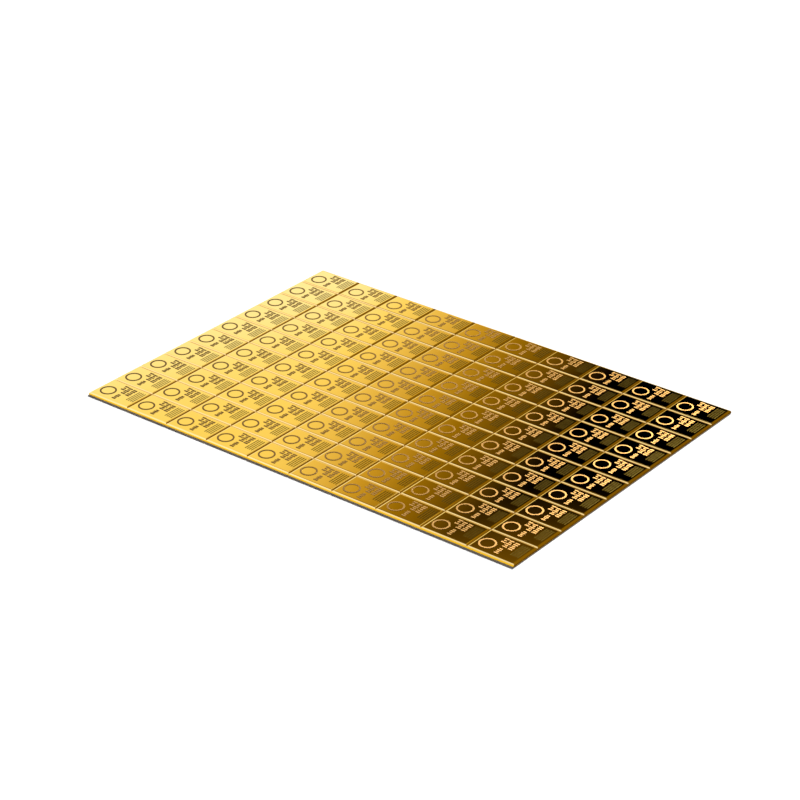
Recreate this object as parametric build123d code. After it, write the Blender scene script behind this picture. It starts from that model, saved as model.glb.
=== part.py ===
# A sheet of 100 small gold ingots, struck as one piece and scored so that each can be snapped off.
# Millimetres, +Z up. The origin is at the middle of the underside.
# +X runs along the long side, and the struck face looks up.
from build123d import *
import os

# Driving dimensions of the sheet
ingot_length = 11.5
ingot_width = 8.0
ingots_along = 10
ingots_across = 10
sheet_thickness = 0.58  # over the struck marks, which are too fine to model

# The score lines pressed into the struck face, which also form its outer bevel
score_width = 0.84
score_depth = 0.24
shoulder_width = 0.27
shoulder_drop = 0.085

# The finer score lines pressed into the back, opposite the first
back_score_width = 0.36
back_score_depth = 0.1
back_shoulder_width = 0.1
back_shoulder_drop = 0.03

# Sizes that follow from those above
sheet_length = ingot_length * ingots_along
sheet_width = ingot_width * ingots_across


def rolled_flank(root, face_height, outward, into_metal, score):
    """One side of a score: a straight flank from its root, then the shoulder that rolls into the flat face."""
    width, depth, rolled_width, rolled_drop = score
    root_height = face_height + into_metal * depth
    rim = (root + outward * width / 2, face_height)
    shoulder_foot = (rim[0] - outward * rolled_width, face_height + into_metal * rolled_drop)
    flank = Line((root, root_height), shoulder_foot)
    shoulder = TangentArc(rim, shoulder_foot, tangent=(-outward, 0))
    return [flank, shoulder], rim


def scored_face(pitch, count, face_height, into_metal, score):
    """The section's edge along one face of the sheet: a flat land on each ingot between two scores."""
    edges = []
    start = -pitch * count / 2
    for index in range(count):
        left_root = start + pitch * index
        left_side, left_rim = rolled_flank(left_root, face_height, 1, into_metal, score)
        right_side, right_rim = rolled_flank(left_root + pitch, face_height, -1, into_metal, score)
        edges += left_side + [Line(left_rim, right_rim)] + right_side
    return edges


def scored_section(pitch, count):
    """The whole section across one set of score lines, with a bevel of half a score at each end."""
    struck_score = (score_width, score_depth, shoulder_width, shoulder_drop)
    back_score = (back_score_width, back_score_depth, back_shoulder_width, back_shoulder_drop)
    half_span = pitch * count / 2
    struck_face = scored_face(pitch, count, sheet_thickness, -1, struck_score)
    back_face = scored_face(pitch, count, 0, 1, back_score)
    side_foot = back_score_depth
    side_head = sheet_thickness - score_depth
    sides = [Line((end, side_foot), (end, side_head)) for end in (-half_span, half_span)]
    return make_face(struck_face + back_face + sides)


# Where the two runs of score lines cross, the metal is what both sections leave
long_run = extrude(Plane.XZ * scored_section(ingot_length, ingots_along), sheet_width / 2, both=True)
cross_run = extrude(Plane.YZ * scored_section(ingot_width, ingots_across), sheet_length / 2, both=True)
scored_sheet = long_run & cross_run

os.makedirs("parts", exist_ok=True)
export_step(scored_sheet, "parts/scored_sheet.step")
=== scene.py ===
import math
import bmesh
import bpy
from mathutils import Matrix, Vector


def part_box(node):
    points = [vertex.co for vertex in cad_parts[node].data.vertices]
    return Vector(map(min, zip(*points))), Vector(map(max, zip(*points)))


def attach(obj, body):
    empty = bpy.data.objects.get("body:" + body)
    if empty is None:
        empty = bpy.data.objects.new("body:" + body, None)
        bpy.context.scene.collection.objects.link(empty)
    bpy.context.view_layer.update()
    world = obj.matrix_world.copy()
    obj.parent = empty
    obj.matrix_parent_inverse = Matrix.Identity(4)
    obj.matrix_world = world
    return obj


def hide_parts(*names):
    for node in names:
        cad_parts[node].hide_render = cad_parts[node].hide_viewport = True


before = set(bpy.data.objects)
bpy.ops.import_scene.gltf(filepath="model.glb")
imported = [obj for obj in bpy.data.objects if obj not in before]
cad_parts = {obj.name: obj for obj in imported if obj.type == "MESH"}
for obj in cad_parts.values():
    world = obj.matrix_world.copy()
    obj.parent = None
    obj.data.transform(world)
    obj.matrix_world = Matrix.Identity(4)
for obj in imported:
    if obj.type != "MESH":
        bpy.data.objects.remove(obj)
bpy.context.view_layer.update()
sheetLow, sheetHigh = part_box("scored_sheet")
mm = 0.001

# the grid of ingots, fitted to the sheet's box in the frame
grid = {
    "along": 10,
    "across": 10,
}
grid["pitchX"] = (sheetHigh.x - sheetLow.x) / grid["along"]
grid["pitchY"] = (sheetHigh.y - sheetLow.y) / grid["across"]
reliefHeight = 0.04 * mm  # how far the struck marks stand above the polished face
fieldHeight = sheetHigh.z - reliefHeight
markFoot = fieldHeight - 0.004 * mm  # the marks' sides reach a little into the metal
cornerSigns = ((-1, -1), (1, -1), (1, 1), (-1, 1))


class Signal:
    # one output of a node; sums written on it add Math nodes
    def __init__(self, tree, socket):
        self.tree = tree
        self.socket = socket

    def maths(self, operation, *values):
        return self.tree.add("ShaderNodeMath", {"operation": operation}, dict(enumerate(values)))

    def __add__(self, other):
        return self.maths("ADD", self, other)

    def __radd__(self, other):
        return self.maths("ADD", other, self)

    def __sub__(self, other):
        return self.maths("SUBTRACT", self, other)

    def __rsub__(self, other):
        return self.maths("SUBTRACT", other, self)

    def __mul__(self, other):
        return self.maths("MULTIPLY", self, other)

    def __rmul__(self, other):
        return self.maths("MULTIPLY", other, self)

    def __truediv__(self, other):
        return self.maths("DIVIDE", self, other)

    def __rtruediv__(self, other):
        return self.maths("DIVIDE", other, self)

    def __abs__(self):
        return self.maths("ABSOLUTE", self)

    def atLeast(self, other):
        return self.maths("MAXIMUM", self, other)


class Tree:
    # a node tree with one way to add a node
    def __init__(self, nodeTree):
        self.nodes = nodeTree.nodes
        self.links = nodeTree.links
        self.nodes.clear()

    def node(self, kind, settings=None, inputs=None):
        made = self.nodes.new(kind)
        for name, value in (settings or {}).items():
            if name == "stops":
                self.setStops(made.color_ramp, value)
            else:
                setattr(made, name, value)
        for name, value in (inputs or {}).items():
            if isinstance(value, Signal):
                self.links.new(value.socket, made.inputs[name])
            else:
                made.inputs[name].default_value = value
        return made

    def add(self, kind, settings=None, inputs=None, output=0):
        return Signal(self, self.node(kind, settings, inputs).outputs[output])

    def setStops(self, ramp, stops):
        while len(ramp.elements) > 1:
            ramp.elements.remove(ramp.elements[-1])
        for index, (place, colour) in enumerate(stops):
            element = ramp.elements[0] if index == 0 else ramp.elements.new(place)
            element.position = place
            element.color = (*colour, 1)

    def mixed(self, factor, first, second):
        return self.add("ShaderNodeMix", {"data_type": "RGBA"}, {0: factor, 6: first, 7: second}, 2)

    def smooth(self, value, low, high):
        settings = {"interpolation_type": "SMOOTHSTEP"}
        return self.add("ShaderNodeMapRange", settings, {"Value": value, "From Min": low, "From Max": high})

    def dot(self, vector, axis):
        settings = {"operation": "DOT_PRODUCT"}
        return self.add("ShaderNodeVectorMath", settings, {0: vector, 1: tuple(axis)}, "Value")


# the finishes: polished gold for the sheet, matt and satin gold for what is struck on it

polishedLook = {
    "colour": (1.0, 0.64, 0.17, 1),
    "roughness": 0.018,
    "cloud": 0.01,                          # how much the polish drifts over the sheet
    "cloudScale": 400,
    "scoreRoughness": 0.08,
    "scoreDepths": (0.07 * mm, 0.01 * mm),  # below the face: full roughness, and none
    "paintedScoreShade": (0.62, 0.34, 0.08, 1),   # painted shade: a darker, more orange gold deep in a score, as where gold mirrors gold
    "paintedShadeDepths": (0.16 * mm, 0.08 * mm),
    "shadeBorder": (0.9 * mm, 0.5 * mm),         # in from the sheet's edge the painted shade fades out, so the bevel keeps the plain colour
}
mattShadedLook = {
    # far darker than gold: painted shade, lifted by the glint lamp where its light falls
    "colour": (0.075, 0.036, 0.004, 1),
    "roughness": 0.34,
    "unevenness": 0.06,
    "grain": 9000,
}
satinShadedLook = {
    # darker than gold: painted shade, lifted by the glint lamp where its light falls
    "colour": (0.24, 0.160, 0.018, 1),
    "roughness": 0.11,
    "unevenness": 0.03,
    "grain": 7000,
}
grainStrength = 0.2
grainDepth = 0.01 * mm


def newMaterial(name):
    material = bpy.data.materials.new(name)
    material.use_nodes = True
    return material, Tree(material.node_tree)


def polishedGold(look):
    material, tree = newMaterial("polished_gold")
    place = tree.add("ShaderNodeTexCoord", output="Object")
    apart = tree.node("ShaderNodeSeparateXYZ", inputs={0: place})
    x, y, height = (Signal(tree, apart.outputs[name]) for name in "XYZ")
    # painted shade: the colour turns darker and more orange deep in the scores, fading out near the sheet's
    # edge
    paintedShade = 1 - tree.smooth(height, *(fieldHeight - depth for depth in look["paintedShadeDepths"]))
    for across, reach in ((x, sheetHigh.x), (y, sheetHigh.y)):
        paintedShade = paintedShade * (1 - tree.smooth(abs(across), *(reach - inset for inset in look["shadeBorder"])))
    colour = tree.mixed(paintedShade, look["colour"], look["paintedScoreShade"])
    inScore = 1 - tree.smooth(height, *(fieldHeight - depth for depth in look["scoreDepths"]))
    cloud = tree.add("ShaderNodeTexNoise", inputs={
        "Vector": place,
        "Scale": look["cloudScale"],
        "Detail": 3,
    })
    roughness = look["roughness"] + (look["scoreRoughness"] - look["roughness"]) * inScore
    shader = tree.add("ShaderNodeBsdfPrincipled", inputs={
        "Base Color": colour,
        "Metallic": 1.0,
        "Roughness": roughness + look["cloud"] * cloud,
    })
    tree.node("ShaderNodeOutputMaterial", inputs={"Surface": shader})
    return material


def grainyGold(name, look):
    material, tree = newMaterial(name)
    place = tree.add("ShaderNodeTexCoord", output="Object")
    grain = tree.add("ShaderNodeTexNoise", inputs={"Vector": place, "Scale": look["grain"], "Detail": 2})
    bump = tree.add("ShaderNodeBump", inputs={
        "Strength": grainStrength,
        "Distance": grainDepth,
        "Height": grain,
    })
    shader = tree.add("ShaderNodeBsdfPrincipled", inputs={
        "Base Color": look["colour"],
        "Metallic": 1.0,
        "Roughness": look["roughness"] + look["unevenness"] * grain,
        "Normal": bump,
    })
    tree.node("ShaderNodeOutputMaterial", inputs={"Surface": shader})
    return material


# one ingot's mesh, and its repeat over the sheet

def newObject(name, bm):
    mesh = bpy.data.meshes.new(name)
    bm.to_mesh(mesh)
    bm.free()
    obj = bpy.data.objects.new(name, mesh)
    bpy.context.scene.collection.objects.link(obj)
    return obj


def repeatTree():
    # lays the incoming geometry on a grid of points, welds what meets and gives it its finish
    group = bpy.data.node_groups.new("repeat_over_sheet", "GeometryNodeTree")
    inputs = (
        ("Geometry", "Geometry"),
        ("Pitch X", "Float"),
        ("Pitch Y", "Float"),
        ("Count X", "Int"),
        ("Count Y", "Int"),
        ("Weld", "Float"),
        ("Finish", "Material"),
    )
    group.interface.new_socket("Geometry", in_out="OUTPUT", socket_type="NodeSocketGeometry")
    for name, kind in inputs:
        group.interface.new_socket(name, in_out="INPUT", socket_type="NodeSocket" + kind)
    tree = Tree(group)
    given = tree.node("NodeGroupInput")
    part = {socket.name: Signal(tree, socket) for socket in given.outputs if socket.name}
    points = tree.add("GeometryNodeMeshGrid", inputs={
        "Size X": part["Pitch X"] * (part["Count X"] - 1),
        "Size Y": part["Pitch Y"] * (part["Count Y"] - 1),
        "Vertices X": part["Count X"],
        "Vertices Y": part["Count Y"],
    })
    copies = tree.add("GeometryNodeInstanceOnPoints", inputs={
        "Points": points,
        "Instance": part["Geometry"],
    })
    real = tree.add("GeometryNodeRealizeInstances", inputs={0: copies})
    welded = tree.add("GeometryNodeMergeByDistance", inputs={"Geometry": real, "Distance": part["Weld"]})
    finished = tree.add("GeometryNodeSetMaterial", inputs={"Geometry": welded, "Material": part["Finish"]})
    tree.node("NodeGroupOutput", inputs={"Geometry": finished})
    return group


def repeatOverSheet(obj, group, material, weld):
    # runs the tree on one ingot's mesh and keeps the result as a plain mesh
    modifier = obj.modifiers.new("repeat", "NODES")
    modifier.node_group = group
    values = {
        "Pitch X": grid["pitchX"],
        "Pitch Y": grid["pitchY"],
        "Count X": grid["along"],
        "Count Y": grid["across"],
        "Weld": weld,
        "Finish": material,
    }
    for item in group.interface.items_tree:
        if item.name in values:
            modifier[item.identifier] = values[item.name]
    graph = bpy.context.evaluated_depsgraph_get()
    whole = bpy.data.meshes.new_from_object(obj.evaluated_get(graph))
    obj.modifiers.clear()
    obj.data = whole


# the scored sheet

sheetShape = {
    "scoreWidth": 0.84 * mm,
    "scoreDepth": 0.24 * mm,
    "shoulderWidth": 0.27 * mm,
    "shoulderDrop": 0.085 * mm,
    "shoulderSteps": 4,
    "backScoreWidth": 0.36 * mm,
    "backScoreDepth": 0.10 * mm,
    "backBend": (0.5, 0.35),     # where a back score's flank bends, as shares of its half width and depth
    "land": 0.06 * mm,           # a strip of the flat face beside each score, which keeps its shading flat
    "weld": 0.001 * mm,
    "sharpAngle": 28,
    "leastMitreRun": 0.01 * mm,
}


def struckProfile(shape):
    # inset from the ingot's edge and height, from the root of the score to the flat face
    rootHeight = sheetHigh.z - shape["scoreDepth"]
    halfWidth = shape["scoreWidth"] / 2
    radius = (shape["shoulderWidth"] ** 2 + shape["shoulderDrop"] ** 2) / (2 * shape["shoulderDrop"])
    sweep = math.asin(shape["shoulderWidth"] / radius)
    squeeze = (fieldHeight - rootHeight) / shape["scoreDepth"]
    profile = [(0, rootHeight)]
    for step in range(shape["shoulderSteps"], -1, -1):
        turn = sweep * step / shape["shoulderSteps"]
        inset = halfWidth - radius * math.sin(turn)
        drop = radius * (1 - math.cos(turn)) * squeeze
        profile.append((inset, fieldHeight - drop))
    profile.append((halfWidth + shape["land"], fieldHeight))
    return profile


def backProfile(shape):
    halfWidth = shape["backScoreWidth"] / 2
    depth = shape["backScoreDepth"]
    bendInset, bendDepth = shape["backBend"]
    return [
        (0, depth),
        (halfWidth * bendInset, depth * bendDepth),
        (halfWidth, 0),
        (halfWidth + shape["land"], 0),
    ]


def addSkin(bm, profile):
    # nested rectangles from the ingot's edge inwards, closed by its flat face
    loops = []
    for inset, height in profile:
        x = grid["pitchX"] / 2 - inset
        y = grid["pitchY"] / 2 - inset
        loops.append([bm.verts.new((sx * x, sy * y, height)) for sx, sy in cornerSigns])
    for outer, inner in zip(loops, loops[1:]):
        for side in range(4):
            ahead = (side + 1) % 4
            bm.faces.new((outer[side], outer[ahead], inner[ahead], inner[side]))
    bm.faces.new(loops[-1])


def closeSides(bm):
    # the back is scored between the ingots only, so its outer edge stays square
    openEdges = [edge for edge in bm.edges if edge.is_boundary]
    for edge in openEdges:
        for vert in edge.verts:
            if vert.co.z < sheetHigh.z / 2:
                vert.co.z = 0
    bmesh.ops.bridge_loops(bm, edges=openEdges)
    bmesh.ops.recalc_face_normals(bm, faces=bm.faces)


def makeSheet(shape, group, material):
    bm = bmesh.new()
    addSkin(bm, struckProfile(shape))
    addSkin(bm, backProfile(shape))
    sheet = newObject("scored_sheet_skin", bm)
    repeatOverSheet(sheet, group, material, shape["weld"])
    bm = bmesh.new()
    bm.from_mesh(sheet.data)
    closeSides(bm)
    bm.to_mesh(sheet.data)
    bm.free()
    sheet.data.shade_smooth()
    sheet.data.set_sharp_from_angle(angle=math.radians(shape["sharpAngle"]))
    for edge in sheet.data.edges:  # the mitres at the ingots' corners stay crisp
        first, second = (sheet.data.vertices[index].co for index in edge.vertices)
        run = second - first
        if min(abs(run.x), abs(run.y)) > shape["leastMitreRun"]:
            edge.use_edge_sharp = True
    return sheet


# the struck marks of one ingot: a plain ring and rows of tally bars

marksShape = {
    "ringCentre": (-3.03 * mm, -0.74 * mm),
    "ringRadius": 1.70 * mm,
    "ringWidth": 0.38 * mm,
    "ringSides": 28,
    # rows of bars along the ingot's short side, in mm: place, start, pitch, bar width and the bars' lengths
    "rows": (
        {"x": -0.83, "start": 1.50, "pitch": 0.70, "width": 0.38, "lengths": (1.0, 0.60, 1.05)},
        {"x": 0.42, "start": 0.25, "pitch": 0.62, "width": 0.36, "lengths": (1.10, 0.80, 1.10, 0.70, 1.10)},
        {"x": 0.36, "start": -2.60, "pitch": 0.58, "width": 0.38, "lengths": (1.0, 0.70, 0.95, 0.75)},
        {"x": 1.84, "start": 0.10, "pitch": 0.64, "width": 0.38, "lengths": (1.05, 1.05, 0.75, 1.05, 1.05)},
    ),
}


def addBar(bm, x, y, length, width, top):
    places = [(x + sx * length / 2, y + sy * width / 2) for sx, sy in cornerSigns]
    low = [bm.verts.new((*place, markFoot)) for place in places]
    high = [bm.verts.new((*place, top)) for place in places]
    for index in range(4):
        ahead = (index + 1) % 4
        bm.faces.new((low[index], low[ahead], high[ahead], high[index]))
    bm.faces.new(high)


def addRing(bm, centre, radius, width, sides, top):
    outer, inner = radius + width / 2, radius - width / 2
    section = ((outer, markFoot), (outer, top), (inner, top), (inner, markFoot))
    loops = []
    for index in range(sides):
        turn = 2 * math.pi * index / sides
        across, along = math.cos(turn), math.sin(turn)
        loops.append([bm.verts.new((centre[0] + r * across, centre[1] + r * along, z)) for r, z in section])
    for index in range(sides):
        here, ahead = loops[index], loops[(index + 1) % sides]
        for step in range(len(section) - 1):
            bm.faces.new((here[step], ahead[step], ahead[step + 1], here[step + 1]))


def makeMarks(shape, group, material):
    bm = bmesh.new()
    top = sheetHigh.z
    addRing(bm, shape["ringCentre"], shape["ringRadius"], shape["ringWidth"], shape["ringSides"], top)
    for row in shape["rows"]:
        for index, length in enumerate(row["lengths"]):
            y = (row["start"] + index * row["pitch"]) * mm
            addBar(bm, row["x"] * mm, y, length * mm, row["width"] * mm, top)
    obj = newObject("struck_marks", bm)
    repeatOverSheet(obj, group, material, weld=0)
    return obj


# the block of fine lines near the ingot's end, each line broken in other places

fineShape = {
    "x": 3.12 * mm,
    "pitch": 0.56 * mm,
    "width": 0.25 * mm,
    "low": -1.60 * mm,
    "high": 2.90 * mm,
    "breaks": ((0.34,), (0.62,), (0.22, 0.70), (0.50,)),
    "gap": 0.10 * mm,
    "belowMarks": 0.02 * mm,  # how much lower they stand than the struck marks
}


def makeFineLines(shape, group, material):
    bm = bmesh.new()
    top = sheetHigh.z - shape["belowMarks"]
    span = shape["high"] - shape["low"]
    for index, breaks in enumerate(shape["breaks"]):
        x = shape["x"] + index * shape["pitch"]
        ends = [0, *breaks, 1]
        for start, stop in zip(ends, ends[1:]):
            low = shape["low"] + span * start + shape["gap"] / 2
            high = shape["low"] + span * stop - shape["gap"] / 2
            addBar(bm, x, (low + high) / 2, shape["width"], high - low, top)
    obj = newObject("fine_lines", bm)
    repeatOverSheet(obj, group, material, weld=0)
    return obj


polished = polishedGold(polishedLook)
matt = grainyGold("matt_gold_shaded", mattShadedLook)
satin = grainyGold("satin_gold_shaded", satinShadedLook)
print("finishes made:", polished.name, matt.name, satin.name)
repeater = repeatTree()
sheet = makeSheet(sheetShape, repeater, polished)
struckMarks = makeMarks(marksShape, repeater, matt)
fineLines = makeFineLines(fineShape, repeater, satin)
for piece in (sheet, struckMarks, fineLines):
    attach(piece, "root")
    print("piece made:", piece.name, len(piece.data.polygons), "faces")
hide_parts("scored_sheet")

# the camera, floor and lamps

studio = {
    "cameraAzimuth": 38.275,
    "cameraElevation": 28.229,
    "cameraDistance": 0.54249,
    "cameraAim": (-1.712 * mm, -0.645 * mm),
    "lens": 112.02,
    "nearestSeen": 0.01,
    "floorSize": 6.0,
    "floorColour": 0.80,
    "floorGain": 1.75,                        # for the camera alone, so that the floor reads white
    "paintedFloorReflection": (0.98, 0.86, 0.04),      # painted reflection: a warm glow that only the metal sees, as of light off the gold beside it
    "paintedFloorShade": (0.13, 0.085, 0.01),  # painted shade: the glow is dim past the sheet's right end
    "paintedFloorShadeEdge": (0.0570, 0.0576),             # where the one turns into the other
    "fillColour": (0.85, 0.95, 1.2, 1),
    "fillStrength": 0.05,
    "sunToward": (-0.33, 0.866, 0.376),
    "sunStrength": 6.3,
    "sunAngle": 6,
    "glintPlace": (-0.053, 0.269, 0.283),     # a small lamp for the marks alone
    "glintSize": 0.07,
    "glintPower": 9.5,
}


def direction(azimuth, elevation):
    # azimuth 0 is towards -Y, 90 towards +X
    a, e = math.radians(azimuth), math.radians(elevation)
    return Vector((math.sin(a) * math.cos(e), -math.cos(a) * math.cos(e), math.sin(e)))


def makeCamera(look):
    data = bpy.data.cameras.new("camera")
    data.lens = look["lens"]
    data.clip_start = look["nearestSeen"]
    camera = bpy.data.objects.new("camera", data)
    bpy.context.scene.collection.objects.link(camera)
    toCamera = direction(look["cameraAzimuth"], look["cameraElevation"])
    aim = Vector((*look["cameraAim"], fieldHeight))
    camera.location = aim + toCamera * look["cameraDistance"]
    camera.rotation_euler = (-toCamera).to_track_quat("-Z", "Y").to_euler()
    bpy.context.scene.camera = camera


def makeFloor(look):
    bm = bmesh.new()
    half = look["floorSize"] / 2
    bm.faces.new([bm.verts.new((sx * half, sy * half, 0)) for sx, sy in cornerSigns])
    floor = newObject("floor", bm)
    material, tree = newMaterial("floor_white")
    seen = tree.add("ShaderNodeLightPath", output="Is Camera Ray")
    mirrored = tree.add("ShaderNodeLightPath", output="Is Glossy Ray")
    place = tree.add("ShaderNodeTexCoord", output="Object")
    x = tree.add("ShaderNodeSeparateXYZ", inputs={0: place}, output="X")
    tone = look["floorColour"] * (1 + (look["floorGain"] - 1) * seen)
    colour = tree.add("ShaderNodeCombineColor", inputs={0: tone, 1: tone, 2: tone})
    diffuse = tree.add("ShaderNodeBsdfDiffuse", inputs={"Color": colour})
    # for glossy rays the floor glows instead of being lit: painted reflection, dim past the sheet's right
    # end as painted shade
    near, far = ((*look[name], 1) for name in ("paintedFloorReflection", "paintedFloorShade"))
    warm = tree.mixed(tree.smooth(x, *look["paintedFloorShadeEdge"]), near, far)
    glow = tree.add("ShaderNodeEmission", inputs={"Color": warm})
    surface = tree.add("ShaderNodeMixShader", inputs={0: mirrored, 1: diffuse, 2: glow})
    tree.node("ShaderNodeOutputMaterial", inputs={"Surface": surface})
    floor.data.materials.append(material)


def addLamp(name, kind, place):
    data = bpy.data.lights.new(name, kind)
    lamp = bpy.data.objects.new(name, data)
    bpy.context.scene.collection.objects.link(lamp)
    lamp.location = place
    lamp.rotation_euler = (-Vector(place)).to_track_quat("-Z", "Y").to_euler()
    return lamp


def makeLamps(look, marked):
    sun = addLamp("sun", "SUN", look["sunToward"])
    sun.data.energy = look["sunStrength"]
    sun.data.angle = math.radians(look["sunAngle"])
    sun.visible_glossy = False
    glint = addLamp("glint", "AREA", look["glintPlace"])
    glint.data.size = look["glintSize"]
    glint.data.energy = look["glintPower"]
    onMarks = bpy.data.collections.new("lit_by_glint")
    for piece in marked:
        onMarks.objects.link(piece)
    glint.light_linking.receiver_collection = onMarks


# what the polished metal mirrors: a white room with one dark screen behind the sheet, which has soft edges;
# a pair of numbers is where a soft edge starts and ends, and a pair of tones is that of its two ends

room = {
    "leastDepth": 0.05,
    "edgeTilt": 36,             # how far the screen's left edge leans, in degrees
    "edge": (-0.042, 0.0648),   # across the view: where the screen begins, and where it is fully dark
    "hazeTilt": 73,             # the white beside the screen is brighter lower down
    "haze": (-0.060, -0.004),
    "hazeLeast": 0.84,
    "lowDim": 0.50,             # the white beside the screen is yellower near the floor
    "lowDimHeight": (0.20, 0.40),
    "lowDimBack": (0.66, 0.73),
    "farTone": (0.24, 0.17),    # the far wall's glow, behind the sheet's left end and its right end
    "farAlong": (0.665, 0.735),
    "farBack": (0.50, 0.62),
    "farSide": (0.20, 0.62),    # it is seen to the right of the screen
    "topHeight": (0.50, 0.56),  # and above it
    "topSide": (-0.30, -0.15),
    "lowTone": 0.90,            # a bright strip low on the right
    "lowSide": (0.30, 0.70),
    "lowHeight": (0.32, 0.46),
    "leftHeight": (0.535, 0.59),  # a patch high above the sheet's left end
    "leftBack": (0.58, 0.63, 0.675, 0.70),
    "leftSide": (0.00, 0.06, 0.12, 0.30),
    "horizonTone": (1.0, 0.34),   # the backdrop is brightest just above the floor
    "horizonAlong": (0.675, 0.735),
    "horizon": (0.05, 0.32),
    "horizonBack": (0.74, 0.80),
    "horizonFall": 0.8,
    "zenithTone": 0.80,           # the ceiling
    "zenith": (0.89, 0.96),
    "tones": (                    # from the screen's middle to the brightest white
        (0.00, (0.0, 0.0, 0.0)),
        (0.09, (0.12, 0.078, 0.003)),
        (0.27, (0.31, 0.21, 0.006)),
        (0.48, (0.60, 0.45, 0.07)),
        (0.69, (0.86, 0.76, 0.30)),
        (0.85, (1.03, 1.02, 0.53)),
        (0.92, (1.06, 1.12, 0.79)),
        (1.00, (1.10, 1.30, 1.43)),
    ),
    "nearEast": -0.47,            # the near half of the room, whose edge leans across the floor
    "nearLean": 1.7,
    "nearSide": (0.09, 0.26),
    "nearWarm": (1.0, 0.93, 0.40),
    "nearColour": (1.15, 1.30, 2.0),
    "nearWarmHeight": (0.52, 0.62),
    "lowNearLight": (1.2, 0.60),  # it is brighter behind the camera on the left, and dimmer on the right
    "lowNear": (-0.42, -0.25),
    "lowNearAcross": (-0.60, -0.50),
}


def besideScreen(tree, seen, ahead, right):
    # the white to the left of the screen, laid out as the camera would see it
    rise = right.cross(ahead)
    depth = tree.dot(seen, ahead).atLeast(room["leastDepth"])

    def leaning(tilt):
        lean = math.radians(tilt)
        return tree.dot(seen, right * math.cos(lean) + rise * math.sin(lean)) / depth

    haze = 1 - tree.smooth(leaning(room["hazeTilt"]), *room["haze"])
    lit = 1 - tree.smooth(leaning(room["edgeTilt"]), *room["edge"])
    return lit * (room["hazeLeast"] + (1 - room["hazeLeast"]) * haze)


def screenTone(tree, seen, ahead, right):
    # how bright the screen's half of the room is: the brightest of its parts
    side, back, height = (tree.dot(seen, axis) for axis in (right, (0, 1, 0), (0, 0, 1)))

    def rises(value, name):
        return tree.smooth(value, *room[name])

    def falls(value, name):
        return 1 - rises(value, name)

    def along(name, blend):
        first, last = room[name]
        return first + (last - first) * blend

    dim = room["lowDim"] * falls(height, "lowDimHeight") * rises(back, "lowDimBack")
    white = besideScreen(tree, seen, ahead, right) * (1 - dim)
    glow = along("farTone", rises(back, "farAlong")) * rises(back, "farBack")
    far = glow * rises(side, "farSide")
    top = glow * rises(height, "topHeight") * rises(side, "topSide")
    low = room["lowTone"] * rises(side, "lowSide") * falls(height, "lowHeight")
    left = rises(height, "leftHeight")
    for value, name in ((back, "leftBack"), (side, "leftSide")):
        start, full, fading, gone = room[name]
        left = left * tree.smooth(value, start, full) * (1 - tree.smooth(value, fading, gone))
    horizon = along("horizonTone", rises(back, "horizonAlong")) * falls(height, "horizon")
    horizon = horizon * (1 - room["horizonFall"] * rises(back, "horizonBack"))
    tone = white
    for part in (far, top, low, left, horizon, room["zenithTone"] * rises(height, "zenith")):
        tone = tone.atLeast(part)
    return tone


def makeWorld(look):
    world = bpy.data.worlds.new("studio")
    bpy.context.scene.world = world
    world.use_nodes = True
    tree = Tree(world.node_tree)
    seen = tree.add("ShaderNodeTexCoord", output="Generated")
    ahead = direction(look["cameraAzimuth"] + 180, look["cameraElevation"])
    right = ahead.cross(Vector((0, 0, 1))).normalized()
    tone = screenTone(tree, seen, ahead, right)
    farHalf = tree.add("ShaderNodeValToRGB", {"stops": room["tones"]}, {"Fac": tone})

    east, back, height = (tree.dot(seen, axis) for axis in ((1, 0, 0), (0, 1, 0), (0, 0, 1)))
    near = 1 - tree.smooth(back + room["nearLean"] * (east - room["nearEast"]), *room["nearSide"])
    warm, cool = ((*room[name], 1) for name in ("nearWarm", "nearColour"))
    nearHalf = tree.mixed(tree.smooth(height, *room["nearWarmHeight"]), warm, cool)
    lowLeft, lowRight = room["lowNearLight"]
    behind = lowLeft + (lowRight - lowLeft) * tree.smooth(east, *room["lowNearAcross"])
    strength = 1 + (behind - 1) * (1 - tree.smooth(back, *room["lowNear"]))
    around = tree.mixed(near, farHalf, nearHalf)

    mirrored = tree.add("ShaderNodeBackground", inputs={"Color": around, "Strength": strength})
    fill = tree.add("ShaderNodeBackground", inputs={
        "Color": look["fillColour"],
        "Strength": look["fillStrength"],
    })
    white = tree.add("ShaderNodeBackground", inputs={"Color": (1, 1, 1, 1), "Strength": 1.0})
    isGlossy = tree.add("ShaderNodeLightPath", output="Is Glossy Ray")
    isCamera = tree.add("ShaderNodeLightPath", output="Is Camera Ray")
    sky = tree.add("ShaderNodeMixShader", inputs={0: isCamera, 1: fill, 2: white})
    sky = tree.add("ShaderNodeMixShader", inputs={0: isGlossy, 1: sky, 2: mirrored})
    tree.node("ShaderNodeOutputWorld", inputs={"Surface": sky})


makeCamera(studio)
makeFloor(studio)
makeLamps(studio, (struckMarks, fineLines))
makeWorld(studio)
bpy.context.scene.view_settings.view_transform = "Standard"
print("studio made: camera, floor, lamps and the room that the metal mirrors")
